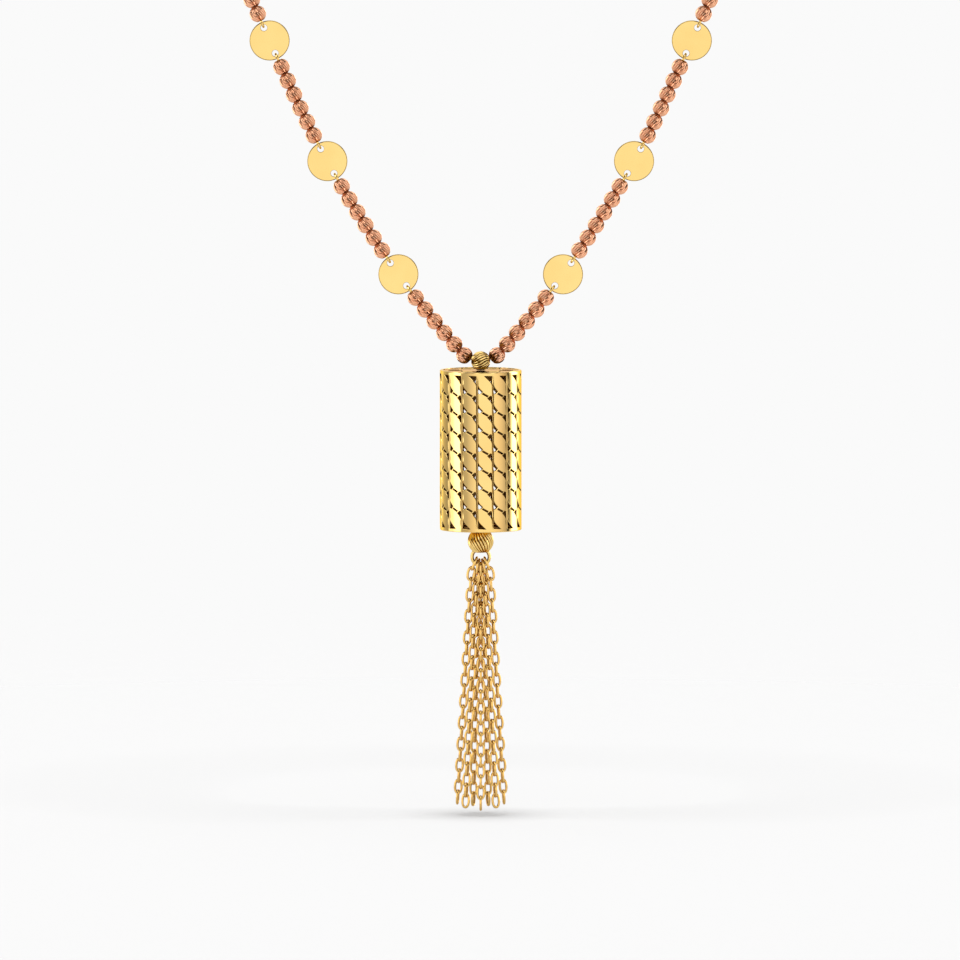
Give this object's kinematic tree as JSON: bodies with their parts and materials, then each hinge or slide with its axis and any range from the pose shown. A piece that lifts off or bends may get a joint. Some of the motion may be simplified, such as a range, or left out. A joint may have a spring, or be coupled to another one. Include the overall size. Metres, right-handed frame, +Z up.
{
  "type": "tassel necklace",
  "caption": "Gold necklace of small cut beads and flat round discs strung on wire, with an openwork barrel pendant and a chain tassel below it.",
  "frame": {"origin": "middle of the neck opening, level with the sides of the neck, as the necklace hangs on a neck", "axes": "+Z up, -Y towards the viewer of a worn necklace, with the pendant at the front; X from side to side"},
  "size_m": [0.1182, 0.1, 0.1841],
  "materials": {
    "yellow_gold": "polished",
    "rose_gold": "polished"
  },
  "bodies": {
    "necklace": {"beads_front": "rose_gold", "disc_r1": "yellow_gold", "disc_r2": "yellow_gold", "disc_r3": "yellow_gold", "disc_r4": "yellow_gold", "disc_r5": "yellow_gold", "disc_r6": "yellow_gold", "disc_r7": "yellow_gold", "disc_r8": "yellow_gold", "disc_r9": "yellow_gold", "disc_r10": "yellow_gold", "disc_l1": "yellow_gold", "disc_l2": "yellow_gold", "disc_l3": "yellow_gold", "disc_l4": "yellow_gold", "disc_l5": "yellow_gold", "disc_l6": "yellow_gold", "disc_l7": "yellow_gold", "disc_l8": "yellow_gold", "disc_l9": "yellow_gold", "disc_l10": "yellow_gold", "beads_r1": "rose_gold", "beads_r2": "rose_gold", "beads_r3": "rose_gold", "beads_r4": "rose_gold", "beads_r5": "rose_gold", "beads_r6": "rose_gold", "beads_r7": "rose_gold", "beads_r8": "rose_gold", "beads_r9": "rose_gold", "beads_r10": "rose_gold", "beads_l1": "rose_gold", "beads_l2": "rose_gold", "beads_l3": "rose_gold", "beads_l4": "rose_gold", "beads_l5": "rose_gold", "beads_l6": "rose_gold", "beads_l7": "rose_gold", "beads_l8": "rose_gold", "beads_l9": "rose_gold", "beads_l10": "rose_gold", "clasp": "yellow_gold"},
    "pendant": {"top_bead": "yellow_gold", "barrel": "yellow_gold", "lower_bead": "yellow_gold", "tassel": "yellow_gold"}
  },
  "joints": [
    {"name": "pendant_swing", "type": "hinge", "parent": "necklace", "child": "pendant", "pos_m": [0, -0.045, -0.1], "axis": [1, 0, 0], "range_deg": [-75, 40]}
  ]
}
